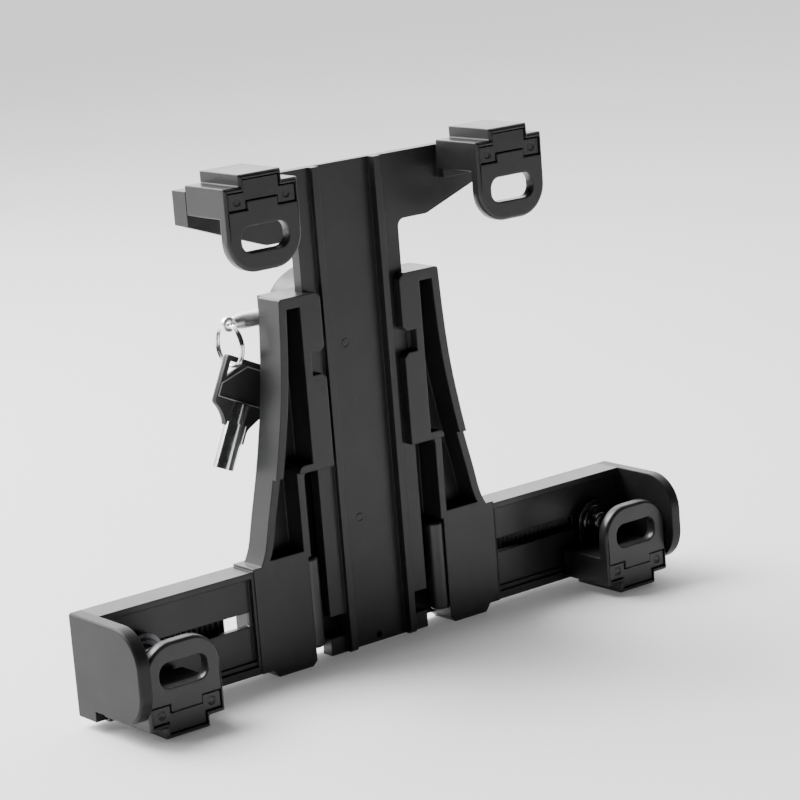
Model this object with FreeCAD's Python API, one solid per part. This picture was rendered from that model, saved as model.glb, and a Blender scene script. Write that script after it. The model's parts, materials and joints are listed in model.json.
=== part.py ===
import FreeCAD, Part
import math
import os

# Lockable tablet holder for a car interior. All lengths are millimetres.
# The model is laid out from the jaw faces: y = 0 is the front of the hook plates and y grows
# towards the back, z = 0 is the top of the upper hooks, x = 0 is the middle plane. At the end
# everything moves so that the origin is the centre of the rear bolt pattern.

# Hooks, the same moulding on both jaws
HOOK_W = 32.0           # plate width
HOOK_H = 35.1           # crown top to the rounded end
HOOK_R = 12.0           # corner radius of the rounded end
PLATE_T = 4.5           # plate thickness
PLATE_BEVEL = 0.8
HOOK_DEPTH = 24.5       # plate front to the back of an upper sleeve
CROWN_W = 18.4          # raised middle of the sleeve
CROWN_H = 4.2
SLEEVE_H = 11.0         # shoulder to underside
STRAP_W = 20.5          # slot through the plate
STRAP_H = 9.4
STRAP_R = 4.0
STRAP_DROP = 23.2       # crown top to the middle of the slot
SLEEVE_BACK = 2.0       # closed wall behind the core
CORE_GAP = 0.35
CORE_SIDE = 1.5         # sleeve wall beside the core's crown
CORE_TOP = 2.1
EAR_SIDE = 1.6
EAR_W = 7.5
EAR_H = 6.0
CORE_WEB = 7.2          # height of the core's middle
CORE_SINK = 0.5         # core face behind the plate's face
PIN_MARK_R = 1.5        # round ejector recesses on the core's ears
PIN_MARK_D = 0.3

# Upper jaw: spine with two arms
HOOK_X = 57.35          # middle of an upper hook
SPINE_W = 47.0
SPINE_BOTTOM = 193.2    # depth of the spine's lower end under the crown top
HEAD_TOP = 6.6
ARM_TIP_H = 12.6
ARM_ROOT_X = 37.5
ARM_ROOT_H = 25.5
FLANGE_Y = 28.3         # front of the outer flanges and the arms
SLIDER_BACK = 32.9
PANEL_SINK = 1.6        # middle panel behind the flanges
RIB_IN = 12.9           # half the width between the ribs
RIB_W = 3.0
RIB_PROUD = 2.0         # rib in front of the flanges
HEAD_FILLET = 3.0
BOSS_SET = 3.0          # arm boss set in from the hook's inner side
NOTCH_H = 8.8           # gap above each foot
FOOT_H = 6.8
FOOT_SINK = 0.9
FOOT_D = 5.5
PIN_HOLE_R = 1.2
PIN_HOLE_UP = 2.7
PIN_FLOOR = 0.6
JAW_TRAVEL = 65.0

# Ladder strip on the spine's back, caught by the lock
LADDER_X = -11.0
LADDER_W = 13.0
LADDER_T = 3.5
LADDER_TOP = 50.2
LADDER_BAR = 3.4
LADDER_RUNGS = 5
LADDER_PITCH = JAW_TRAVEL / (LADDER_RUNGS - 1)   # the cam meets a window at both ends of the travel
LADDER_SLOT_W = 7.0

# Base: two fins with the wings
FIN_TOP = 52.0
FIN_FRONT = 24.0
FIN_BACK = 37.2
FIN_IN = 18.8           # half the opening between the fins
FIN_STEP = 118.5        # where the guide strips end
STRIP_W = 9.4
FIN_WALL = 3.3
FIN_FLOOR = 2.0
FIN_RIM = 4.2
FIN_RIB = 2.6
FIN_CHAMFER = 2.0
FIN_ROUND = 1.2
LOWER_SINK = 2.0        # lower fin face behind the upper one
RIB_POST = 3.0
SLIDE_GAP = 0.3
SHELF_T = 3.0           # strip's foot, curving down into the post
SHELF_R = 2.4
RELIEF_TOP = 74.3       # notch in each guide strip
RELIEF_H = 8.4
RELIEF_D = 6.2
RELIEF_CHAMFER = 1.8
WING_TOP = 151.0
# half widths of the fin's outer edge against depth under the crown top
FIN_EDGE = [(37.5, 52.0), (38.9, 75.0), (40.6, 91.0), (42.7, 103.5), (45.7, 118.5),
            (47.5, 126.0), (50.1, 137.0), (52.4, WING_TOP - 5.0), (55.4, WING_TOP + 0.2)]

WING_H = 39.5
WING_FRONT = 26.66
WING_BACK = 39.2
WING_END = 125.34       # half the clear width between the end plates
RECESS_X = 59.0
RECESS_D = 2.0
RIM_TOP = 2.5
RIM_BOTTOM = 3.0
FLOOR_T = 2.5
WALL = 2.6
SLOT_DROP = 18.15
SLOT_MID = WING_TOP + SLOT_DROP   # middle of the adjusting slot
SLOT_H = 5.5
SLOT_IN = 60.0
SLOT_MARGIN = 4.34      # slot's outer end from the wing's end
SLOT_OUT = WING_END - SLOT_MARGIN
RAIL_H = 1.8
RAIL_PROUD = 1.0
PANEL_IN = 32.8
PANEL_H = 42.5
PANEL_DROP = WING_TOP + PANEL_H
PANEL_SET = 0.66        # panel face in front of the wing's rim
PANEL_EDGE = 53.0
BRIDGE_Y = 36.8
BRIDGE_T = 3.0
BRIDGE_HALF = 36.0
WEB_H = 40.0
BRIDGE_DROP = WING_TOP + WEB_H   # lower end of the web behind the slider
RACK_IN = 66.5
RACK_T = 2.2
RACK_BACK = 0.8
TOOTH_PITCH = 2.4
TOOTH_H = 1.4
TOOTH_STRIP = 13.0

ROD_R = 3.75
ROD_X = 30.4
ROD_Y = 29.9
ROD_SET = 1.0
ROD_TOP = WING_TOP + ROD_SET
ROD_L = 35.5
ROD_GAP = 0.05

# End plates
END_T = 4.9
END_FRONT = -4.0
END_R = 13.6
END_H = 35.4
END_HEEL_H = 38.6
END_HEEL = 11.6
END_NOTCH = 6.0
END_NOTCH_H = 0.9
END_FILLET = 0.7

# Lower hooks on the wings
LOW_HOOK_GAP = 0.34     # hook to end plate, with the hook at the wing's end
LOW_HOOK_X = WING_END - HOOK_W / 2 - LOW_HOOK_GAP
CROWN_UNDER = 42.3      # lower crown under the wing's top
LOW_CROWN = WING_TOP + CROWN_UNDER
FIT_GAP = 0.3
TONGUE_W = 14.0
TONGUE_T = 2.6
TONGUE_UNDER = 33.6
TONGUE_LOW = WING_TOP + TONGUE_UNDER
SHANK_R = 2.5
SHANK_GAP = 0.05
WASHER_R = 8.0
WASHER_T = 1.0
CAP_R = 6.2
CAP_T = 1.2
KNOB_R = 4.0
KNOB_L = 4.4
HEX_AF = 4.0
HEX_D = 2.4
NUT_W = 12.0
NUT_H = 9.0
NUT_T = 2.7

# Rear housing, lock and keys
HOUSE_HALF = 22.0
HOUSE_BACK = 56.0
HOUSE_BOTTOM = 122.0
HOUSE_R = 9.0
HOUSE_FILLET = 2.5
BOLT_X = 30.2
BOLT_Z = 38.1
BOLT_R = 2.65
BOLT_D = 10.0
MOUNT_DROP = 91.0
LOCK_Y = 47.0
LOCK_DROP = 62.0
LOCK_R = 5.0
LOCK_IN = 14.0          # lock's inner end from the middle plane
LOCK_LIP_R = 6.2
LOCK_LIP = 3.4
PLUG_R = 3.7
PLUG_GAP = 0.05
PLUG_OUT = 0.6
CAM_L = 12.2
CAM_W = 3.0
CAM_T = 2.4
CAM_GAP = 0.8
KEY_R = 3.1
KEY_L = 13.2
KEY_TAPER = 4.0
KEY_NECK_R = 2.3
EYE_R = 2.8
EYE_T = 2.4
EYE_HOLE = 1.4
RING_R = 8.0
RING_WIRE = 0.55
BOW_W = 24.0
BOW_H = 17.4
BOW_TAPER = 13.5
BOW_NECK = 11.5
BOW_T = 2.6
BOW_SINK = 0.5
BOW_RIM = 2.0
BOW_HOLE = 6.4          # short sides of the triangular ring hole
STEM_R = 3.5            # tubular key's stem, set in the bow above the barrel
STEM_L = 7.5
BARREL_R = 4.6
BARREL_BORE = 3.2
BARREL_L = 10.5
BARREL_BITE = 7.0
SPARE_TILT = 25.0

V = FreeCAD.Vector
OUT = {}


def box(x0, x1, y0, y1, z0, z1):
    return Part.makeBox(x1 - x0, y1 - y0, z1 - z0, V(x0, y0, z0))


def rod(r, length, at, along):
    return Part.makeCylinder(r, length, V(*at), V(*along))


def face_xz(points, y):
    wire = Part.makePolygon([V(x, y, z) for x, z in points + points[:1]])
    return Part.Face(wire)


def prism_xz(points, y0, y1):
    return face_xz(points, y0).extrude(V(0, y1 - y0, 0))


def edges_on(shape, test):
    return [e for e in shape.Edges if all(test(v.Point) for v in e.Vertexes)]


def mirrored(shape):
    return shape.mirror(V(0, 0, 0), V(1, 0, 0))


def flipped(shape):
    return shape.mirror(V(0, 0, 0), V(0, 0, 1))


def moved(shape, x, y, z):
    copy = shape.copy()
    copy.translate(V(x, y, z))
    return copy


def rounded_rect(w, h, r, cz, y0, y1):
    """Slot of width w and height h with corner radius r, centred on x = 0."""
    core = box(-w / 2 + r, w / 2 - r, y0, y1, cz - h / 2, cz + h / 2)
    side = box(-w / 2, w / 2, y0, y1, cz - h / 2 + r, cz + h / 2 - r)
    corners = [rod(r, y1 - y0, (sx * (w / 2 - r), y0, cz + sz * (h / 2 - r)), (0, 1, 0))
               for sx in (-1, 1) for sz in (-1, 1)]
    return core.multiFuse([side] + corners).removeSplitter()


# Hook: a round-ended plate in front of a sleeve with a raised crown

def castle(y0, y1):
    c, h, low = CROWN_W / 2, HOOK_W / 2, CROWN_H + SLEEVE_H
    return prism_xz([(-c, 0), (c, 0), (c, -CROWN_H), (h, -CROWN_H), (h, -low), (-h, -low),
                     (-h, -CROWN_H), (-c, -CROWN_H)], y0, y1)


def hat(gap, y0, y1):
    """Hat-shaped core section, grown by gap on every side."""
    a = CROWN_W / 2 - CORE_SIDE + gap
    top = -CORE_TOP + gap
    out = HOOK_W / 2 - EAR_SIDE + gap
    ear_top = -CROWN_H - CORE_TOP + gap
    ear_low = -CROWN_H - CORE_TOP - EAR_H - gap
    ear_in = HOOK_W / 2 - EAR_SIDE - EAR_W - gap
    web = -CORE_TOP - CORE_WEB - gap
    half = [(a, top), (a, ear_top), (out, ear_top), (out, ear_low), (ear_in, ear_low), (ear_in, web)]
    return prism_xz(half + [(-x, z) for x, z in reversed(half)], y0, y1)


def hook_plate():
    c, h, r = CROWN_W / 2, HOOK_W / 2, HOOK_R
    low = -(HOOK_H - r)
    k = r * math.sqrt(0.5)
    pts = [(-h, low), (-h, -CROWN_H), (-c, -CROWN_H), (-c, 0), (c, 0), (c, -CROWN_H), (h, -CROWN_H), (h, low)]
    edges = [Part.LineSegment(V(p[0], 0, p[1]), V(q[0], 0, q[1])).toShape() for p, q in zip(pts, pts[1:])]
    edges.append(Part.Arc(V(h, 0, low), V(h - r + k, 0, low - k), V(h - r, 0, low - r)).toShape())
    edges.append(Part.LineSegment(V(h - r, 0, low - r), V(-h + r, 0, low - r)).toShape())
    edges.append(Part.Arc(V(-h + r, 0, low - r), V(-h + r - k, 0, low - k), V(-h, 0, low)).toShape())
    plate = Part.Face(Part.Wire(edges)).extrude(V(0, PLATE_T, 0))
    return plate.makeChamfer(PLATE_BEVEL, edges_on(plate, lambda p: p.y < 1e-6))


def hook(depth):
    body = hook_plate().fuse(castle(PLATE_T - PLATE_BEVEL, depth))
    body = body.cut(rounded_rect(STRAP_W, STRAP_H, STRAP_R, -STRAP_DROP, -1, PLATE_T + 1))
    return body.cut(hat(CORE_GAP, -1, depth - SLEEVE_BACK)).removeSplitter()


def hook_core(depth):
    core = hat(0, CORE_SINK, depth - SLEEVE_BACK)
    ear_x = HOOK_W / 2 - EAR_SIDE - EAR_W / 2
    ear_z = -CROWN_H - CORE_TOP - EAR_H / 2
    marks = [rod(PIN_MARK_R, PIN_MARK_D, (sx * ear_x, CORE_SINK, ear_z), (0, 1, 0)) for sx in (-1, 1)]
    return core.cut(Part.makeCompound(marks))


# Upper jaw

def t_slider():
    half = SPINE_W / 2
    tip = HOOK_X + HOOK_W / 2
    top = -HEAD_TOP
    root = top - ARM_ROOT_H
    foot_top = -SPINE_BOTTOM + FOOT_H
    flange_end = foot_top + NOTCH_H
    body_half = RIB_IN + RIB_W
    right = [(tip, top), (tip, top - ARM_TIP_H), (ARM_ROOT_X, root), (half, root), (half, flange_end),
             (body_half, flange_end), (body_half, -SPINE_BOTTOM)]
    outline = right + [(-x, z) for x, z in reversed(right)]
    body = prism_xz(outline, FLANGE_Y, SLIDER_BACK)
    corners = edges_on(body, lambda p: abs(abs(p.x) - half) < 1e-6 and abs(p.z - root) < 1e-6)
    body = body.makeFillet(HEAD_FILLET, corners)
    bends = edges_on(body, lambda p: abs(abs(p.x) - ARM_ROOT_X) < 1e-6 and abs(p.z - root) < 1e-6)
    body = body.makeFillet(HEAD_FILLET * 2, bends)
    body = body.cut(box(-RIB_IN, RIB_IN, FLANGE_Y - 1, FLANGE_Y + PANEL_SINK, -SPINE_BOTTOM - 1, top + 1))
    add = []
    for s in (-1, 1):
        xs = sorted((s * RIB_IN, s * (RIB_IN + RIB_W)))
        rib = box(xs[0], xs[1], FLANGE_Y - RIB_PROUD, SLIDER_BACK - 1, -SPINE_BOTTOM, top)
        ends = edges_on(rib, lambda p: p.y < FLANGE_Y and p.z < -SPINE_BOTTOM + 1e-6)
        add.append(rib.makeFillet(RIB_PROUD * 0.8, ends))
        xs = sorted((s * body_half, s * half))
        foot_y = FLANGE_Y + FOOT_SINK
        add.append(box(xs[0], xs[1], foot_y, foot_y + FOOT_D, -SPINE_BOTTOM, foot_top))
        boss = prism_xz([(s * x, z) for x, z in ((tip, top), (tip, top - ARM_TIP_H),
                                                (HOOK_X - HOOK_W / 2 + BOSS_SET, top - ARM_TIP_H),
                                                (HOOK_X - HOOK_W / 2 + BOSS_SET, top))],
                        HOOK_DEPTH, FLANGE_Y + 1)
        add.append(boss)
    body = body.multiFuse(add)
    pin = rod(PIN_HOLE_R, SLIDER_BACK - PIN_FLOOR, (0, 0, -SPINE_BOTTOM + PIN_HOLE_UP), (0, 1, 0))
    body = body.cut(pin)
    return body.removeSplitter()


def ladder():
    length = LADDER_PITCH * LADDER_RUNGS + LADDER_BAR
    x0, x1 = LADDER_X - LADDER_W / 2, LADDER_X + LADDER_W / 2
    y0, y1 = SLIDER_BACK, SLIDER_BACK + LADDER_T
    strip = box(x0, x1, y0, y1, -LADDER_TOP - length, -LADDER_TOP)
    slots = []
    for i in range(LADDER_RUNGS):
        top = -LADDER_TOP - LADDER_BAR - i * LADDER_PITCH
        slots.append(box(LADDER_X - LADDER_SLOT_W / 2, LADDER_X + LADDER_SLOT_W / 2, y0 - 1, y1 + 1,
                         top - LADDER_PITCH + LADDER_BAR, top))
    return strip.cut(Part.makeCompound(slots))


# Base frame, built on the right and mirrored

def fin_face(inner, inset, y):
    """Area between a straight inner edge and the curved outer edge, moved in by inset."""
    pts = [V(x - inset, y, -z) for x, z in FIN_EDGE]
    curve = Part.BSplineCurve()
    curve.interpolate(pts)
    low, high = V(inner, y, pts[-1].z), V(inner, y, pts[0].z)
    wire = Part.Wire([curve.toShape(), Part.makeLine(pts[-1], low), Part.makeLine(low, high),
                      Part.makeLine(high, pts[0])])
    return Part.Face(wire)


def fin_slab(inner, inset, y0, y1, z_top, z_low):
    slab = fin_face(inner, inset, y0).extrude(V(0, y1 - y0, 0))
    return slab.common(box(inner - 1, WING_END, y0 - 1, y1 + 1, -z_low, -z_top))


def fin():
    low_front = FIN_FRONT + LOWER_SINK
    post = PANEL_IN + RIB_POST - 1.2
    upper = fin_slab(FIN_IN, 0, FIN_FRONT, FIN_BACK, FIN_TOP, FIN_STEP)
    corner = edges_on(upper, lambda p: abs(p.z + FIN_TOP) < 1e-6 and abs(p.x - FIN_IN) < 1e-6)
    upper = upper.makeChamfer(FIN_CHAMFER, corner)
    corner = edges_on(upper, lambda p: abs(p.z + FIN_TOP) < 1e-6 and p.x > FIN_IN + STRIP_W)
    upper = upper.makeFillet(FIN_ROUND, corner)
    lower = fin_slab(post - RIB_POST, 0, low_front, FIN_BACK, FIN_STEP, WING_TOP + 0.2)
    body = upper.fuse(lower)
    floor_y = FIN_BACK - FIN_FLOOR
    shelf = FIN_STEP - SHELF_T
    tall = fin_slab(FIN_IN + STRIP_W, FIN_WALL, FIN_FRONT - 1, floor_y, FIN_TOP + FIN_RIM, shelf)
    cell = fin_slab(post, FIN_WALL, FIN_FRONT - 1, floor_y, shelf - FIN_RIB, WING_TOP - FIN_RIB)
    body = body.cut(tall).cut(cell).removeSplitter()
    bends = edges_on(body, lambda p: abs(p.x - post) < 1e-6 and abs(p.z + shelf) < 1e-6)
    bends += edges_on(body, lambda p: abs(p.x - post + RIB_POST) < 1e-6 and abs(p.z + FIN_STEP) < 1e-6)
    body = body.makeFillet(SHELF_R, bends)
    half = SPINE_W / 2 + SLIDE_GAP
    groove = box(0, half, FLANGE_Y - SLIDE_GAP, SLIDER_BACK + SLIDE_GAP, -FIN_STEP - 1, -FIN_TOP + 1)
    top, low = -RELIEF_TOP, -RELIEF_TOP - RELIEF_H
    c, deep = RELIEF_CHAMFER, FIN_IN + RELIEF_D
    relief = prism_xz([(FIN_IN - 1, top + c), (FIN_IN, top + c), (FIN_IN + c, top), (deep, top), (deep, low),
                       (FIN_IN + c, low), (FIN_IN, low - c), (FIN_IN - 1, low - c)], FIN_FRONT - 1, FLANGE_Y)
    return body.cut(groove).cut(relief)


def wing():
    top, low = -WING_TOP, -WING_TOP - WING_H
    body = box(PANEL_EDGE, WING_END, WING_FRONT, WING_BACK, low, top)
    body = body.cut(box(RECESS_X, WING_END + 1, WING_FRONT - 1, WING_FRONT + RECESS_D,
                        low + RIM_BOTTOM, top - RIM_TOP))
    rail = box(RECESS_X, WING_END, WING_FRONT + RECESS_D - RAIL_PROUD, WING_FRONT + RECESS_D,
               low + RIM_BOTTOM + 0.2, low + RIM_BOTTOM + 0.2 + RAIL_H)
    inner = WING_FRONT + RECESS_D + FLOOR_T
    hollow = box(RECESS_X, WING_END - WALL, inner, WING_BACK + 1, low + WALL, top - WALL)
    r = SLOT_H / 2
    slot = box(SLOT_IN, SLOT_OUT, WING_FRONT, inner + 1, -SLOT_MID - r, -SLOT_MID + r)
    return body.fuse(rail).cut(hollow).cut(slot)


def panel():
    front = WING_FRONT - PANEL_SET
    low = -PANEL_DROP
    wing_low = -WING_TOP - WING_H
    block = prism_xz([(PANEL_IN, -WING_TOP + 1), (RECESS_X - 1, -WING_TOP + 1), (RECESS_X - 1, wing_low),
                      (PANEL_EDGE, wing_low), (PANEL_EDGE - 2.4, low), (PANEL_IN + 2, low),
                      (PANEL_IN, low + 2)],
                     front, WING_BACK)
    hollow = box(PANEL_IN + WALL + ROD_R, PANEL_EDGE - WALL, front + WALL, WING_BACK + 1,
                 low + WALL, -WING_TOP - WALL)
    groove = rod(ROD_R + ROD_GAP, ROD_L + 2 * ROD_GAP, (ROD_X, ROD_Y, -ROD_TOP - ROD_L - ROD_GAP), (0, 0, 1))
    return block.cut(hollow).cut(groove)


def base_frame():
    side = fin().multiFuse([panel(), wing()])
    back = BRIDGE_Y + BRIDGE_T
    bridge = box(-BRIDGE_HALF, BRIDGE_HALF, BRIDGE_Y, back, -BRIDGE_DROP, -FIN_TOP)
    window = box(LADDER_X - LADDER_SLOT_W / 2, LADDER_X + LADDER_SLOT_W / 2, BRIDGE_Y - 1, back + 1,
                 -LOCK_DROP - CAM_W - CAM_GAP, -FIN_TOP + 1)
    body = side.multiFuse([mirrored(side), bridge.cut(window)])
    return body.removeSplitter()


def rack_plate():
    y1 = WING_BACK - RACK_BACK
    y0 = y1 - RACK_T
    x1 = WING_END - WALL
    top, low = -WING_TOP - WALL, -WING_TOP - WING_H + WALL
    plate = box(RACK_IN, x1, y0, y1, low, top)
    count = int((x1 - RACK_IN) / TOOTH_PITCH)
    z0, z1 = -SLOT_MID - TOOTH_STRIP / 2, -SLOT_MID + TOOTH_STRIP / 2
    points = [(RACK_IN, y0 + 0.2)]
    for i in range(count):
        x = RACK_IN + i * TOOTH_PITCH
        points += [(x, y0), (x + TOOTH_PITCH / 2, y0 - TOOTH_H)]
    points += [(RACK_IN + count * TOOTH_PITCH, y0), (RACK_IN + count * TOOTH_PITCH, y0 + 0.2)]
    wire = Part.makePolygon([V(x, y, z0) for x, y in points + points[:1]])
    teeth = Part.Face(wire).extrude(V(0, 0, z1 - z0))
    return plate.fuse(teeth).removeSplitter()


def guide_rod():
    body = rod(ROD_R, ROD_L, (ROD_X, ROD_Y, -ROD_TOP - ROD_L), (0, 0, 1))
    return body.makeFillet(ROD_R * 0.35, [e for e in body.Edges if e.Closed])


def end_plate():
    top, r, f = -WING_TOP, END_R, END_FRONT
    low = top - END_H
    heel = top - END_HEEL_H
    back = WING_BACK
    k = r * math.sqrt(0.5)
    notch_y = back - END_HEEL

    def p(y, z):
        return V(WING_END, y, z)
    run = [p(f + r, low), p(notch_y - END_NOTCH, low), p(notch_y - END_NOTCH, low + END_NOTCH_H),
           p(notch_y, low + END_NOTCH_H), p(notch_y, heel), p(back, heel), p(back, top), p(f + r, top)]
    edges = [Part.makeLine(a, b) for a, b in zip(run, run[1:])]
    edges.append(Part.Arc(p(f + r, top), p(f + r - k, top - r + k), p(f, top - r)).toShape())
    edges.append(Part.makeLine(p(f, top - r), p(f, low + r)))
    edges.append(Part.Arc(p(f, low + r), p(f + r - k, low + r - k), p(f + r, low)).toShape())
    plate = Part.Face(Part.Wire(edges)).extrude(V(END_T, 0, 0))
    rim = [e for e in edges_on(plate, lambda q: q.x > WING_END + END_T - 1e-6)
           if min(v.Point.y for v in e.Vertexes) < notch_y - END_NOTCH - 1 or e.BoundBox.ZMin > top - 1e-6]
    return plate.makeChamfer(END_FILLET, rim)


# Lower hooks and their clamp screws, built at x = 0

def low_depth():
    return WING_FRONT - FIT_GAP


def tongue_front():
    return WING_FRONT + RECESS_D - FIT_GAP - TONGUE_T


def low_hook():
    body = moved(flipped(hook(low_depth())), 0, 0, -LOW_CROWN)
    y0, y1 = tongue_front(), tongue_front() + TONGUE_T
    r = TONGUE_W / 2
    tongue = box(-r, r, y0, y1, -TONGUE_LOW, -SLOT_MID).fuse(rod(r, TONGUE_T, (0, y0, -SLOT_MID), (0, 1, 0)))
    bore = rod(SHANK_R + SHANK_GAP, TONGUE_T + 2, (0, y0 - 1, -SLOT_MID), (0, 1, 0))
    return body.fuse(tongue).cut(bore).removeSplitter()


def low_core():
    return moved(flipped(hook_core(low_depth())), 0, 0, -LOW_CROWN)


def washer():
    y = tongue_front() - WASHER_T
    ring = rod(WASHER_R, WASHER_T, (0, y, -SLOT_MID), (0, 1, 0))
    flat = box(-WASHER_R, WASHER_R, y - 1, y + 2, -LOW_CROWN, -LOW_CROWN + CROWN_H + SLEEVE_H + FIT_GAP)
    return ring.cut(rod(SHANK_R + SHANK_GAP, WASHER_T + 2, (0, y - 1, -SLOT_MID), (0, 1, 0))).cut(flat)


def clamp_nut():
    y = WING_FRONT + RECESS_D + FLOOR_T + FIT_GAP
    block = box(-NUT_W / 2, NUT_W / 2, y, y + NUT_T, -SLOT_MID - NUT_H / 2, -SLOT_MID + NUT_H / 2)
    return block.cut(rod(SHANK_R + SHANK_GAP, NUT_T + 2, (0, y - 1, -SLOT_MID), (0, 1, 0)))


def clamp_screw():
    seat = tongue_front() - WASHER_T - SHANK_GAP
    tip = WING_FRONT + RECESS_D + FLOOR_T + FIT_GAP + NUT_T
    neck = seat - CAP_T
    face = neck - KNOB_L
    profile = [(0, face), (KNOB_R - 0.6, face), (KNOB_R, face + 0.6), (KNOB_R, neck), (CAP_R - 0.5, neck),
               (CAP_R, neck + 0.5), (CAP_R, seat),
               (SHANK_R, seat), (SHANK_R, tip), (0, tip)]
    wire = Part.makePolygon([V(r, y, -SLOT_MID) for r, y in profile + profile[:1]])
    body = Part.Face(wire).revolve(V(0, 0, -SLOT_MID), V(0, 1, 0), 360)
    a = HEX_AF / math.sqrt(3)
    turns = [math.radians(60 * i) for i in range(6)]
    hexagon = [(a * math.cos(t), -SLOT_MID + a * math.sin(t)) for t in turns]
    y = face
    return body.cut(prism_xz(hexagon, y - 1, y + HEX_D))


# Rear housing with the lock

def rear_housing():
    y0 = BRIDGE_Y + BRIDGE_T
    h, r = HOUSE_HALF, HOUSE_R
    cz = -LOCK_DROP
    low = -HOUSE_BOTTOM
    k = r * math.sqrt(0.5)

    def p(x, z):
        return V(x, y0, z)
    outline = [Part.Arc(p(-h, cz), p(0, cz + h), p(h, cz)).toShape(), Part.makeLine(p(h, cz), p(h, low + r)),
               Part.Arc(p(h, low + r), p(h - r + k, low + r - k), p(h - r, low)).toShape(),
               Part.makeLine(p(h - r, low), p(r - h, low)),
               Part.Arc(p(r - h, low), p(r - h - k, low + r - k), p(-h, low + r)).toShape(),
               Part.makeLine(p(-h, low + r), p(-h, cz))]
    body = Part.Face(Part.Wire(outline)).extrude(V(0, HOUSE_BACK - y0, 0))
    body = body.makeFillet(HOUSE_FILLET, edges_on(body, lambda p: p.y > HOUSE_BACK - 1e-6))
    for sx in (-1, 1):
        for sz in (-1, 1):
            at = (sx * BOLT_X / 2, HOUSE_BACK - BOLT_D, -MOUNT_DROP + sz * BOLT_Z / 2)
            body = body.cut(rod(BOLT_R, BOLT_D + 1, at, (0, 1, 0)))
    bore = rod(LOCK_R + PLUG_GAP, h, (-LOCK_IN - h, LOCK_Y, cz), (1, 0, 0))
    w = LADDER_SLOT_W / 2
    room = CAM_L + CAM_GAP + CAM_W / 2
    chamber = box(LADDER_X - w, LADDER_X + w, y0 - 1, LOCK_Y + PLUG_R + CAM_GAP,
                  cz - CAM_W - CAM_GAP, cz + room)
    return body.cut(bore).cut(chamber)


def lock_body():
    at = (-HOUSE_HALF, LOCK_Y, -LOCK_DROP)
    sleeve = rod(LOCK_R, HOUSE_HALF - LOCK_IN, at, (1, 0, 0))
    lip = rod(LOCK_LIP_R, LOCK_LIP, at, (-1, 0, 0))
    rim = [e for e in lip.Edges if e.Closed and e.CenterOfMass.x < at[0] - LOCK_LIP + 1e-3]
    lip = lip.makeChamfer(0.6, rim)
    bore = rod(PLUG_R + PLUG_GAP, 3 * HOUSE_HALF, (-2 * HOUSE_HALF, LOCK_Y, -LOCK_DROP), (1, 0, 0))
    return sleeve.fuse(lip).cut(bore).removeSplitter()


def lock_plug():
    x0 = -HOUSE_HALF - LOCK_LIP - PLUG_OUT
    return rod(PLUG_R, LADDER_X - CAM_T / 2 - x0, (x0, LOCK_Y, -LOCK_DROP), (1, 0, 0))


def lock_cam():
    x0 = LADDER_X - CAM_T / 2
    z = -LOCK_DROP
    hub = rod(PLUG_R, CAM_T, (x0, LOCK_Y, z), (1, 0, 0))
    arm = box(x0, x0 + CAM_T, LOCK_Y - CAM_W / 2, LOCK_Y + CAM_W / 2, z, z + CAM_L)
    tip = [e for e in arm.Edges if abs(e.CenterOfMass.z - z - CAM_L) < 1e-6 and abs(e.tangentAt(0).x) > 0.9]
    arm = arm.makeFillet(CAM_W * 0.3, tip)
    return hub.fuse(arm).removeSplitter()


def eye_x():
    return -HOUSE_HALF - LOCK_LIP - PLUG_OUT - KEY_L - KEY_TAPER - EYE_R + 0.8


def lock_key():
    x0 = -HOUSE_HALF - LOCK_LIP - PLUG_OUT
    y, z = LOCK_Y, -LOCK_DROP
    shaft = rod(KEY_R, KEY_L, (x0, y, z), (-1, 0, 0))
    taper = Part.makeCone(KEY_R, KEY_NECK_R, KEY_TAPER, V(x0 - KEY_L, y, z), V(-1, 0, 0))
    eye = rod(EYE_R, EYE_T, (eye_x(), y - EYE_T / 2, z), (0, 1, 0))
    hole = rod(EYE_HOLE, EYE_T + 8, (eye_x(), y - EYE_T / 2 - 4, z), (0, 1, 0))
    return shaft.multiFuse([taper, eye]).cut(hole).removeSplitter()


def key_ring():
    """Two close turns of wire, hung from the eye."""
    z = -LOCK_DROP - RING_R
    shift = RING_WIRE * 0.95
    first, second = (Part.makeTorus(RING_R, RING_WIRE, V(x, LOCK_Y, z), V(1, 0, 0))
                     for x in (eye_x() - shift, eye_x() + shift))
    return first.fuse(second)


def hole_reach():
    """Distance from each short side of the ring hole to the middle of its largest circle."""
    return BOW_HOLE * (1 - math.sqrt(0.5))


def spare_axis():
    return BOW_W / 2 - BOW_RIM - hole_reach()


def spare_top():
    return BOW_RIM + hole_reach()


def spare_place(shape):
    """Local frame: ring hole at the origin, barrel pointing down -z, thickness about y = 0."""
    shape = shape.copy()
    shape.rotate(V(0, 0, 0), V(0, 1, 0), SPARE_TILT)
    shape.translate(V(eye_x(), LOCK_Y, -LOCK_DROP - 2 * RING_R))
    return shape


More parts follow.
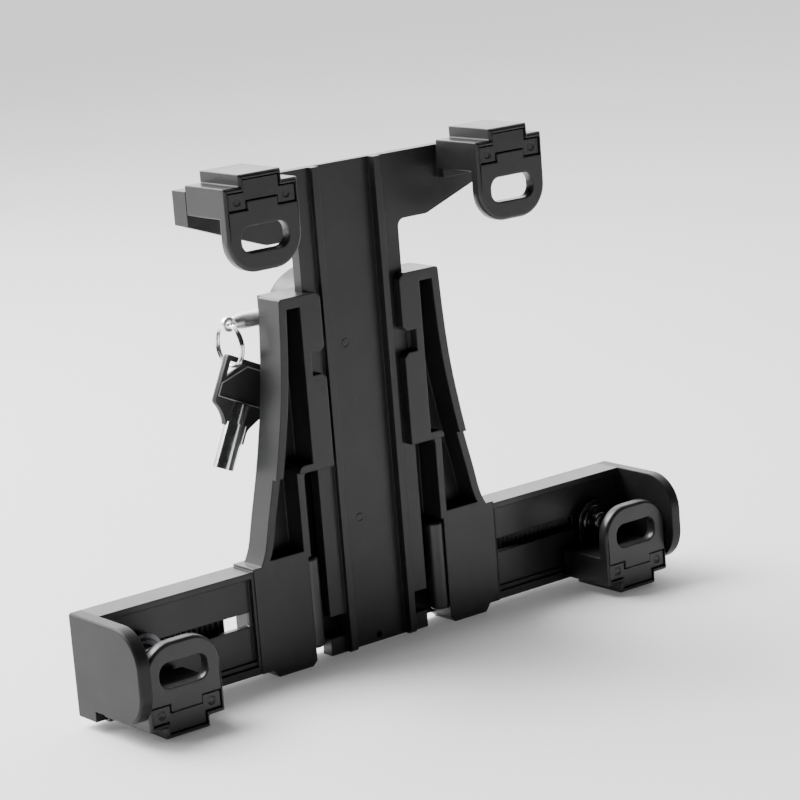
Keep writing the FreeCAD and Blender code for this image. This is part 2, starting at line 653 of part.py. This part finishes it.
def spare_bow():
    ax, top = spare_axis(), spare_top()
    w, t = BOW_W / 2, BOW_T / 2
    low = top - BOW_H
    outline = [(ax - w, top), (ax + w, top), (ax + w, low), (ax + BOW_NECK / 2, low - BOW_TAPER),
               (ax - BOW_NECK / 2, low - BOW_TAPER), (ax - w, low)]
    body = prism_xz(outline, -t, t)
    c = BOW_HOLE
    d = top - BOW_RIM
    x0 = ax - w + BOW_RIM
    hole = prism_xz([(x0, d), (x0 + c, d), (x0, d - c)], -t - 1, t + 1)
    k = BOW_RIM * 1.7
    left, right, foot = ax - w + k, ax + w - k, low + BOW_RIM
    cut = c * 0.8
    recess = [(left + cut, top - k), (right, top - k), (right, foot), (left, foot), (left, top - k - cut)]
    body = body.cut(hole)
    for y0, y1 in ((-t - 1, -t + BOW_SINK), (t - BOW_SINK, t + 1)):
        body = body.cut(prism_xz(recess, y0, y1))
    foot = low - BOW_TAPER
    socket = rod(BARREL_R + FIT_GAP / 6, BARREL_BITE + 1, (ax, 0, foot - 1), (0, 0, 1))
    throat = rod(STEM_R, STEM_L, (ax, 0, foot + BARREL_BITE), (0, 0, 1))
    return spare_place(body.cut(socket).cut(throat))


def spare_barrel():
    ax = spare_axis()
    z = spare_top() - BOW_H - BOW_TAPER
    barrel = rod(BARREL_R, BARREL_L + BARREL_BITE, (ax, 0, z - BARREL_L), (0, 0, 1))
    stem = rod(STEM_R, STEM_L, (ax, 0, z + BARREL_BITE), (0, 0, 1))
    bore = rod(BARREL_BORE, BARREL_L, (ax, 0, z - BARREL_L), (0, 0, 1))
    nib = box(ax - 0.7, ax + 0.7, BARREL_R - 0.3, BARREL_R + 0.8, z - BARREL_L + 1, z - BARREL_L + 3.5)
    return spare_place(barrel.multiFuse([stem, nib]).cut(bore).removeSplitter())


def build():
    hook_shape, core_shape = hook(HOOK_DEPTH), hook_core(HOOK_DEPTH)
    OUT["t_slider"] = t_slider()
    OUT["slider_ladder"] = ladder()
    for side, s in (("left", -1), ("right", 1)):
        OUT["upper_%s_hook" % side] = moved(hook_shape, s * HOOK_X, 0, 0)
        OUT["upper_%s_hook_core" % side] = moved(core_shape, s * HOOK_X, 0, 0)
    OUT["base_frame"] = base_frame()
    for name, shape in (("end_plate", end_plate()), ("rack_plate", rack_plate()), ("guide_rod", guide_rod())):
        OUT["right_" + name] = shape
        OUT["left_" + name] = mirrored(shape)
    pieces = (("lower_%s_hook", low_hook()), ("lower_%s_hook_core", low_core()), ("%s_washer", washer()),
              ("%s_clamp_nut", clamp_nut()), ("%s_clamp_screw", clamp_screw()))
    for side, s in (("left", -1), ("right", 1)):
        for name, shape in pieces:
            OUT[name % side] = moved(shape, s * LOW_HOOK_X, 0, 0)
    OUT["rear_housing"] = rear_housing()
    OUT["lock_body"] = lock_body()
    OUT["lock_plug"] = lock_plug()
    OUT["lock_cam"] = lock_cam()
    OUT["lock_key"] = lock_key()
    OUT["key_ring"] = key_ring()
    OUT["spare_key_bow"] = spare_bow()
    OUT["spare_key_barrel"] = spare_barrel()


build()
os.makedirs("parts", exist_ok=True)
for node, shape in OUT.items():
    placed = moved(shape, 0, -HOUSE_BACK, MOUNT_DROP)
    placed.exportStep("parts/%s.step" % node)
    box_ = placed.BoundBox
    print("%-22s solids %d valid %s vol %.0f  x %.1f..%.1f y %.1f..%.1f z %.1f..%.1f" % (
        node, len(placed.Solids), placed.isValid(), placed.Volume,
        box_.XMin, box_.XMax, box_.YMin, box_.YMax, box_.ZMin, box_.ZMax))
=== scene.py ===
"""Looks of the tablet holder: finishes, small details, a redrawn key bow and rear housing, and a pale studio."""
import json
import math

import bmesh
import bpy
from mathutils import Matrix, Vector


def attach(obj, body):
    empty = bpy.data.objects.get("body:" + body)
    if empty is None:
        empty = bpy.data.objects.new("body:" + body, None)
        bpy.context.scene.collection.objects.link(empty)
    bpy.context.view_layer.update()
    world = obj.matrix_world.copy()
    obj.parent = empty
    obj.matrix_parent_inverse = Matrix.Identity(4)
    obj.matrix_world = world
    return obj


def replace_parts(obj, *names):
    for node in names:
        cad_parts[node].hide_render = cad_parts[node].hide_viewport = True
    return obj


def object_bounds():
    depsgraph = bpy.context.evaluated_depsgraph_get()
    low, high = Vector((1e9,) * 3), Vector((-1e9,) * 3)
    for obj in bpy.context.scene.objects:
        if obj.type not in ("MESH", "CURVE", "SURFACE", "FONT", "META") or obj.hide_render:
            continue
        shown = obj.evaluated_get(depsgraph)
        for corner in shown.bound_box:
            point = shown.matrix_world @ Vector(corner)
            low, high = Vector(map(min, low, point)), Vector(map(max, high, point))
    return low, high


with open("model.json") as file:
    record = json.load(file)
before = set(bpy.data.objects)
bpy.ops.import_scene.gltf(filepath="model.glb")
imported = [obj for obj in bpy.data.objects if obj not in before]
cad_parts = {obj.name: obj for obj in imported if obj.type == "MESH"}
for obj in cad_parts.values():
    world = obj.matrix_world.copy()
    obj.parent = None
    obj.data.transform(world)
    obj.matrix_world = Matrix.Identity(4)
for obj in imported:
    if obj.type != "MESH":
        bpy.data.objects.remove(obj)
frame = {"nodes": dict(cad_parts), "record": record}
CAD_BOX = [list(corner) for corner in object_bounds()]

MM = 0.001

# Camera, fitted to the outline of the holder
CAMERA_PLACE = Vector((-0.615338, -0.853436, 0.224644))
CAMERA_RIGHT = Vector((0.780381, -0.620465, -0.077651))
CAMERA_UP = Vector((0.196708, 0.125715, 0.972369))
CAMERA_AHEAD = Vector((0.593559, 0.774093, -0.220156))
CAMERA_LENS = 125.7788
CAMERA_SENSOR = 36.0
CAMERA_NEAR = 0.05

# World: bright towards one side and dark opposite it
SKY_AHEAD = (0.3, 0.8, 0.0)
SKY_RAMP = (0.0, 0.75)
SKY_SHADES = (0.004, 1.0)
SKY_STRENGTH = 4.4

# Area lights, aimed at the origin: place, size and power
LIGHTS = {
    "top": ((-0.35, 0.75, 1.0), 0.9, 45.0),
    "left": ((-0.95, 0.35, 0.75), 0.6, 7.0),
}

# Floor, a little below the holder
FLOOR_DROP = 0.1 * MM
FLOOR_HALF = 7.0
FLOOR_NOISE, FLOOR_RAMP, FLOOR_SHADES = (3.0, 2.0), (0.3, 0.7), (0.83, 0.86)
FLOOR_ROUGH = 0.9
FLOOR_GLOW = 0.12

# In materials a noise is given as scale and detail, a ramp as the two places it runs between, and a bump as strength
# and depth
NOISE_ROUGH = 0.55

# Moulded plastic
CLOUD_NOISE, CLOUD_RAMP = (38.0, 4.0), (0.3, 0.72)
RUB_NOISE, RUB_RAMP, RUB_SHARE, RUB_LIGHTER = (210.0, 3.0), (0.55, 0.8), 0.5, 1.3
SHEEN_NOISE, SHEEN_RAMP, SHEEN_SPREAD = (95.0, 5.0), (0.25, 0.8), (-0.03, 0.04)
FLOW_NOISE, FLOW_BUMP = (60.0, 2.0), (0.04, 0.15 * MM)
GRAIN_NOISE, GRAIN_BUMP = (2600.0, 2.0), (0.35, 0.02 * MM)
SOFT_EDGE = 0.7 * MM
SOFT_SAMPLES = 6

# Metal
DULL_NOISE, DULL_RAMP = (160.0, 4.0), (0.3, 0.62)
WEAR_NOISE, WEAR_RAMP, WEAR_ROUGHER = (420.0, 4.0), (0.3, 0.75), 0.12
STREAK_NOISE, STREAK_BUMP = (900.0, 3.0), (0.03, 0.02 * MM)

# Edge rounding: the usual width, and the nodes that have another one or none
EDGE_ROUND = 0.4 * MM
OWN_ROUND = {
    0.0: ["t_slider", "base_frame", "rear_housing", "left_end_plate", "right_end_plate", "left_guide_rod",
          "right_guide_rod", "key_ring", "spare_key_barrel"],
    0.1 * MM: ["lock_cam"],
    0.15 * MM: ["lock_key", "lock_plug", "left_washer", "right_washer", "left_rack_plate", "right_rack_plate"],
    0.2 * MM: ["slider_ladder", "left_clamp_screw", "right_clamp_screw"],
    0.25 * MM: ["upper_left_hook_core", "upper_right_hook_core", "lower_left_hook_core", "lower_right_hook_core"],
    0.3 * MM: ["lock_body", "spare_key_bow"],
}
ROUND_OF = {node: width for width, nodes in OWN_ROUND.items() for node in nodes}
EDGE_ANGLE = math.radians(35.0)
EDGE_SEGMENTS = 2
WELD_GAP = 0.004 * MM

# Rear housing: height of the lock's axis, above which the arch is flattened, the share of the rise that is kept, and
# the arch's least reach from the axis
ARCH_FROM = 29.0 * MM
ARCH_KEPT = 0.72
ARCH_REACH = 19.3 * MM

# The lock's bore through the housing, which stays as it is
LOCK_DEPTH = -9.0 * MM
LOCK_BORE = 5.3 * MM

# The cam chamber in the housing: its sides, back, floor below the axis and greatest reach from it, and the places
# that its ceiling and its outer wall have and get
CHAMBER_X = (-14.55 * MM, -7.45 * MM)
CHAMBER_BACK = -4.4 * MM
CHAMBER_FLOOR = -4.0 * MM
CHAMBER_REACH = 21.0 * MM
CEILING, CEILING_LOWERED = 43.5 * MM, 41.5 * MM
WALL, WALL_MOVED = -14.5 * MM, -12.8 * MM
SAME_PLACE = 0.05 * MM

# Ejector marks on the spine's middle panel: x and z of each, and their profile as radius and height, in mm
PIN_MARKS = [(-4.6, 16.15), (-4.6, -51.7)]
PIN_PROFILE = [
    (0, 0.06), (1.05, 0.06), (1.25, 0.02), (1.35, 0.14), (1.55, 0.15), (1.7, 0.04), (1.75, -0.1), (0, -0.1),
]
PANEL_Y = -26.1 * MM
LATHE_STEPS = 40

# Spare key's bow in its own frame: ring hole at the origin, tilted about Y; outlines as x and z, in mm
BOW_FRAME = Matrix.Translation(Vector((-45.2, -9.0, 13.0)) * MM) @ Matrix.Rotation(math.radians(25.0), 4, "Y")
BOW_OUTLINE = [
    (-3.87, 2.9), (-3.5, 3.6), (-2.9, 3.87), (19.2, 3.87), (19.8, 3.6), (20.13, 2.9), (20.13, -12.6),
    (19.7, -13.4), (14.7, -20.3), (14.1, -21.4), (13.88, -22.6), (13.88, -26.6), (13.5, -27.0), (12.78, -27.0),
    (12.78, -20.0), (11.66, -20.0), (11.66, -12.55), (4.59, -12.55), (4.59, -20.0), (3.47, -20.0), (3.47, -21.6),
    (2.5, -19.8), (1.4, -18.4), (0.0, -17.0), (-1.6, -15.8), (-3.2, -14.9), (-3.7, -14.4), (-3.87, -13.7),
]
BOW_HOLE = [(-1.87, 1.87), (4.53, 1.87), (-1.87, -4.53)]
BOW_PANEL = [(6.2, 1.5), (19.3, 1.5), (19.3, -11.9), (-3.1, -11.9), (-3.1, -7.0)]

# Half thickness of the bow's rim and of the web behind its panel, easing of the rim, and the raised line, in mm
BOW_FACE = 1.3
BOW_WEB = 0.8
RIM_EASE = 0.15
RIM_STEPS = 1
BEAD_RADIUS = 0.3
BEAD_STEPS = 3


def grey(shade):
    return (shade, shade, shade)


def tree_of(name):
    """A new material with its shader tree, its principled shader and its object coordinates."""
    material = bpy.data.materials.new(name)
    material.use_nodes = True
    tree = material.node_tree
    shader = tree.nodes["Principled BSDF"]
    coords = tree.nodes.new("ShaderNodeTexCoord")
    return material, tree, shader, coords.outputs["Object"]


def noise_of(tree, where, scale, detail):
    noise = tree.nodes.new("ShaderNodeTexNoise")
    noise.inputs["Scale"].default_value = scale
    noise.inputs["Detail"].default_value = detail
    noise.inputs["Roughness"].default_value = NOISE_ROUGH
    tree.links.new(where, noise.inputs["Vector"])
    return noise.outputs["Fac"]


def ramp_of(tree, value, places, shades):
    """The shade at a value, running from the first shade to the second between two places."""
    ramp = tree.nodes.new("ShaderNodeValToRGB")
    tree.links.new(value, ramp.inputs["Fac"])
    for element, place, shade in zip(ramp.color_ramp.elements, places, shades):
        element.position = place
        element.color = (*shade, 1.0)
    return ramp.outputs["Color"]


def bump_of(tree, height, strength, depth, under=None):
    """The normal of a bump, on top of another one if that is given."""
    bump = tree.nodes.new("ShaderNodeBump")
    bump.inputs["Strength"].default_value = strength
    bump.inputs["Distance"].default_value = depth
    tree.links.new(height, bump.inputs["Height"])
    if under is not None:
        tree.links.new(under, bump.inputs["Normal"])
    return bump.outputs["Normal"]


def stretched(tree, where, scale):
    mapping = tree.nodes.new("ShaderNodeMapping")
    mapping.inputs["Scale"].default_value = scale
    tree.links.new(where, mapping.inputs["Vector"])
    return mapping.outputs["Vector"]


def moulded(name, dark, light, rough, spec=0.5, draw=None, soft_edge=SOFT_EDGE):
    """Moulded plastic: fine spark-eroded grain, soft flow marks, faint rubbed patches.

    draw stretches the flow marks into the lines that a mould leaves along its pull, and soft_edge is the reach of
    the softened shading over an edge."""
    material, tree, shader, where = tree_of(name)
    colour = ramp_of(tree, noise_of(tree, where, *CLOUD_NOISE), CLOUD_RAMP, (dark, light))
    patch = ramp_of(tree, noise_of(tree, where, *RUB_NOISE), RUB_RAMP, (grey(0.0), grey(RUB_SHARE)))
    rub = tree.nodes.new("ShaderNodeMix")
    rub.data_type = "RGBA"
    tree.links.new(patch, rub.inputs["Factor"])
    tree.links.new(colour, rub.inputs["A"])
    rub.inputs["B"].default_value = (*(RUB_LIGHTER * part for part in light), 1.0)
    tree.links.new(rub.outputs["Result"], shader.inputs["Base Color"])
    sheens = [grey(rough + change) for change in SHEEN_SPREAD]
    sheen = ramp_of(tree, noise_of(tree, where, *SHEEN_NOISE), SHEEN_RAMP, sheens)
    tree.links.new(sheen, shader.inputs["Roughness"])
    along = stretched(tree, where, draw) if draw else where
    soft = tree.nodes.new("ShaderNodeBevel")
    soft.samples = SOFT_SAMPLES
    soft.inputs["Radius"].default_value = soft_edge
    flow = bump_of(tree, noise_of(tree, along, *FLOW_NOISE), *FLOW_BUMP, soft.outputs["Normal"])
    grain = bump_of(tree, noise_of(tree, where, *GRAIN_NOISE), *GRAIN_BUMP, flow)
    tree.links.new(grain, shader.inputs["Normal"])
    shader.inputs["Specular IOR Level"].default_value = spec
    return material


def metal(name, shade, dull, rough):
    """Plated or plain metal: faint streaks, dulled patches, small handling marks."""
    material, tree, shader, where = tree_of(name)
    colour = ramp_of(tree, noise_of(tree, where, *DULL_NOISE), DULL_RAMP, (dull, shade))
    tree.links.new(colour, shader.inputs["Base Color"])
    worn = (grey(rough), grey(rough + WEAR_ROUGHER))
    tree.links.new(ramp_of(tree, noise_of(tree, where, *WEAR_NOISE), WEAR_RAMP, worn), shader.inputs["Roughness"])
    tree.links.new(bump_of(tree, noise_of(tree, where, *STREAK_NOISE), *STREAK_BUMP), shader.inputs["Normal"])
    shader.inputs["Metallic"].default_value = 1.0
    return material


BLACK = moulded("black_plastic_satin", (0.010, 0.010, 0.0105), (0.016, 0.016, 0.0165), 0.33, spec=0.4)
CORE = moulded("core_plastic_satin", (0.009, 0.009, 0.0095), (0.014, 0.014, 0.0145), 0.33, spec=0.4,
               soft_edge=0.25 * MM)
ROD = moulded("rod_plastic_smooth", (0.012, 0.012, 0.013), (0.019, 0.019, 0.020), 0.30)
SPINE = moulded("black_plastic_drawn", (0.010, 0.010, 0.0105), (0.017, 0.017, 0.0175), 0.36, spec=0.4,
                draw=(9.0, 9.0, 0.35), soft_edge=0.4 * MM)
PLATE = moulded("end_plate_plastic", (0.010, 0.010, 0.0105), (0.015, 0.015, 0.0155), 0.38, spec=0.2)
DARK_STEEL = metal("blackened_steel", (0.10, 0.10, 0.105), (0.075, 0.075, 0.08), 0.18)
CHROME = metal("chrome_plate", (0.86, 0.87, 0.88), (0.74, 0.75, 0.77), 0.10)
NICKEL = metal("satin_nickel", (0.93, 0.93, 0.92), (0.87, 0.87, 0.86), 0.3)
STEEL = metal("plated_steel", (0.66, 0.67, 0.69), (0.52, 0.53, 0.55), 0.22)
BOW = moulded("key_bow_plastic", (0.021, 0.021, 0.022), (0.030, 0.030, 0.031), 0.38, soft_edge=0.3 * MM)
MARK = moulded("pin_mark_plastic", (0.011, 0.011, 0.0115), (0.017, 0.017, 0.0175), 0.34, spec=0.4,
               soft_edge=0.03 * MM)
BOW_LINE = moulded("key_bow_raised_line", (0.24, 0.24, 0.242), (0.34, 0.34, 0.342), 0.3, soft_edge=0.1 * MM)

# Finish of each material slot, and of the nodes that differ from their slot's
FINISH = {
    "black_plastic": BLACK, "core_plastic": CORE, "rod_plastic": ROD, "dark_steel": DARK_STEEL,
    "chrome": CHROME, "steel": STEEL, "key_plastic": BOW,
}
OWN_FINISH = {"t_slider": SPINE, "left_end_plate": PLATE, "right_end_plate": PLATE, "lock_key": NICKEL}


def dress_nodes():
    """Each CAD node gets its finish, and most get small rounded edges."""
    slot_of = {entry["node"]: entry["material_slot"] for entry in frame["record"]["subparts"]}
    for name, obj in frame["nodes"].items():
        finish = OWN_FINISH.get(name, FINISH[slot_of[name]])
        for slot in obj.material_slots:
            slot.material = finish
        width = ROUND_OF.get(name, EDGE_ROUND)
        if width:
            weld = obj.modifiers.new("weld", "WELD")
            weld.merge_threshold = WELD_GAP
            bevel = obj.modifiers.new("edge", "BEVEL")
            bevel.width = width
            bevel.segments = EDGE_SEGMENTS
            bevel.limit_method = "ANGLE"
            bevel.angle_limit = EDGE_ANGLE
            bevel.use_clamp_overlap = False
            bevel.harden_normals = True


def add_piece(name, data, material, body):
    """A new visible piece that rides on a body."""
    data.materials.append(material)
    obj = bpy.data.objects.new(name, data)
    bpy.context.collection.objects.link(obj)
    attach(obj, body)
    return obj


def in_chamber(x, y, rise):
    """Whether a point of the housing, at a rise above the lock's axis, is a corner of the cam chamber."""
    return (CHAMBER_X[0] < x < CHAMBER_X[1] and y < CHAMBER_BACK and rise > CHAMBER_FLOOR
            and math.hypot(x, rise) < CHAMBER_REACH)


def on_arch(x, y, rise):
    """Whether a point of the housing lies on its arch, and not on the lock's bore."""
    return rise > 0 and math.hypot(x, rise) > ARCH_REACH and math.hypot(y - LOCK_DEPTH, rise) > LOCK_BORE


def housing():
    """The rear housing with a flatter arch, so that only a little of it shows over the fin."""
    mesh = frame["nodes"]["rear_housing"].data.copy()
    for vertex in mesh.vertices:
        x, y, z = vertex.co
        rise = z - ARCH_FROM
        if in_chamber(x, y, rise):
            if abs(z - CEILING) < SAME_PLACE:
                vertex.co.z = CEILING_LOWERED
            if abs(x - WALL) < SAME_PLACE:
                vertex.co.x = WALL_MOVED
        elif on_arch(x, y, rise):
            vertex.co.z = ARCH_FROM + ARCH_KEPT * rise
    mesh.materials.clear()
    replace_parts(add_piece("housing_shell", mesh, BLACK, "base"), "rear_housing")


def lathe(name, profile, place, ahead):
    """A turned mesh: (radius, height) pairs turned about the line from place along ahead."""
    ahead = Vector(ahead).normalized()
    side = ahead.orthogonal().normalized()
    other = ahead.cross(side)
    angles = [2 * math.pi * i / LATHE_STEPS for i in range(LATHE_STEPS)]
    spokes = [side * math.cos(angle) + other * math.sin(angle) for angle in angles]
    bm = bmesh.new()
    rings = []
    for radius, height in profile:
        middle = Vector(place) + ahead * height
        if radius == 0:
            rings.append([bm.verts.new(middle)] * LATHE_STEPS)
        else:
            rings.append([bm.verts.new(middle + radius * spoke) for spoke in spokes])
    for low, high in zip(rings, rings[1:]):
        for i in range(LATHE_STEPS):
            j = (i + 1) % LATHE_STEPS
            corners = [low[i], low[j], high[j], high[i]]
            bm.faces.new([v for k, v in enumerate(corners) if v not in corners[:k]])
    bmesh.ops.recalc_face_normals(bm, faces=bm.faces[:])
    for face in bm.faces:
        face.smooth = True
    mesh = bpy.data.meshes.new(name)
    bm.to_mesh(mesh)
    bm.free()
    return mesh


def pin_marks():
    """The round ejector marks on the spine's middle panel."""
    profile = [(radius * MM, height * MM) for radius, height in PIN_PROFILE]
    for i, (x, z) in enumerate(PIN_MARKS):
        name = "spine_pin_mark_%d" % i
        mesh = lathe(name, profile, (x * MM, PANEL_Y, z * MM), (0, -1, 0))
        add_piece(name, mesh, MARK, "slider")


def add_loop(curve, places):
    """A closed run of straight lines through the places, as a new spline of the curve."""
    spline = curve.splines.new("POLY")
    spline.points.add(len(places) - 1)
    for point, place in zip(spline.points, places):
        point.co = (*place, 1.0)
    spline.use_cyclic_u = True


def plate(loops, half):
    """A flat plate in the bow's frame, cut from closed loops, half thick each way, its rim eased."""
    curve = bpy.data.curves.new("plate", "CURVE")
    curve.dimensions = "2D"
    curve.fill_mode = "BOTH"
    curve.extrude = (half - RIM_EASE) * MM
    curve.bevel_depth = RIM_EASE * MM
    curve.bevel_resolution = RIM_STEPS
    curve.offset = -RIM_EASE * MM
    for loop in loops:
        add_loop(curve, [(x * MM, z * MM, 0.0) for x, z in loop])
    holder = bpy.data.objects.new("plate", curve)
    mesh = bpy.data.meshes.new_from_object(holder)
    bpy.data.objects.remove(holder)
    mesh.transform(BOW_FRAME @ Matrix.Rotation(math.radians(90.0), 4, "X"))
    return mesh


def bow():
    """The spare key's bow: a web behind the sunk panel, and a thicker rim round it."""
    bm = bmesh.new()
    bm.from_mesh(plate([BOW_OUTLINE, BOW_HOLE], BOW_WEB))
    bm.from_mesh(plate([BOW_OUTLINE, BOW_HOLE, BOW_PANEL], BOW_FACE))
    mesh = bpy.data.meshes.new("key_bow")
    bm.to_mesh(mesh)
    bm.free()
    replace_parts(add_piece("key_bow", mesh, BOW, "spare_key"), "spare_key_bow")


def bow_beads():
    """A raised line round the sunk panel on each side of the spare key's bow."""
    for side, y in (("front", -BOW_FACE), ("back", BOW_FACE)):
        curve = bpy.data.curves.new("bow_bead_" + side, "CURVE")
        curve.dimensions = "3D"
        curve.bevel_depth = BEAD_RADIUS * MM
        curve.bevel_resolution = BEAD_STEPS
        add_loop(curve, [BOW_FRAME @ (Vector((x, y, z)) * MM) for x, z in BOW_PANEL])
        add_piece("bow_bead_" + side, curve, BOW_LINE, "spare_key")


def stage():
    """A wide pale floor that glows a little."""
    floor_z = CAD_BOX[0][2] - FLOOR_DROP
    corners = [(-1, -1), (1, -1), (1, 1), (-1, 1)]
    mesh = bpy.data.meshes.new("floor")
    mesh.from_pydata([(x * FLOOR_HALF, y * FLOOR_HALF, floor_z) for x, y in corners], [], [(0, 1, 2, 3)])
    floor = bpy.data.objects.new("floor", mesh)
    bpy.context.collection.objects.link(floor)
    material, tree, shader, where = tree_of("pale_floor")
    shades = [grey(shade) for shade in FLOOR_SHADES]
    colour = ramp_of(tree, noise_of(tree, where, *FLOOR_NOISE), FLOOR_RAMP, shades)
    tree.links.new(colour, shader.inputs["Base Color"])
    shader.inputs["Roughness"].default_value = FLOOR_ROUGH
    shader.inputs["Emission Color"].default_value = (1.0, 1.0, 1.0, 1.0)
    shader.inputs["Emission Strength"].default_value = FLOOR_GLOW
    mesh.materials.append(material)


def sky():
    """The world, shaded by how far a direction points along SKY_AHEAD."""
    world = bpy.data.worlds.new("studio")
    bpy.context.scene.world = world
    world.use_nodes = True
    tree = world.node_tree
    coords = tree.nodes.new("ShaderNodeTexCoord")
    facing = tree.nodes.new("ShaderNodeVectorMath")
    facing.operation = "DOT_PRODUCT"
    facing.inputs[1].default_value = SKY_AHEAD
    tree.links.new(coords.outputs["Generated"], facing.inputs[0])
    shade = ramp_of(tree, facing.outputs["Value"], SKY_RAMP, [grey(shade) for shade in SKY_SHADES])
    tree.links.new(shade, tree.nodes["Background"].inputs["Color"])
    tree.nodes["Background"].inputs["Strength"].default_value = SKY_STRENGTH


def lights():
    for name, (place, size, power) in LIGHTS.items():
        light = bpy.data.lights.new(name, "AREA")
        light.shape = "SQUARE"
        light.size = size
        light.energy = power
        obj = bpy.data.objects.new(name, light)
        obj.location = place
        obj.rotation_euler = (-Vector(place)).to_track_quat("-Z", "Y").to_euler()
        bpy.context.collection.objects.link(obj)


def camera():
    data = bpy.data.cameras.new("camera")
    data.sensor_width = CAMERA_SENSOR
    data.lens = CAMERA_LENS
    data.clip_start = CAMERA_NEAR
    obj = bpy.data.objects.new("camera", data)
    turn = Matrix((CAMERA_RIGHT, CAMERA_UP, -CAMERA_AHEAD)).transposed()
    obj.matrix_world = Matrix.Translation(CAMERA_PLACE) @ turn.to_4x4()
    bpy.context.collection.objects.link(obj)
    bpy.context.scene.camera = obj


camera()
dress_nodes()
housing()
pin_marks()
bow()
bow_beads()
stage()
sky()
lights()
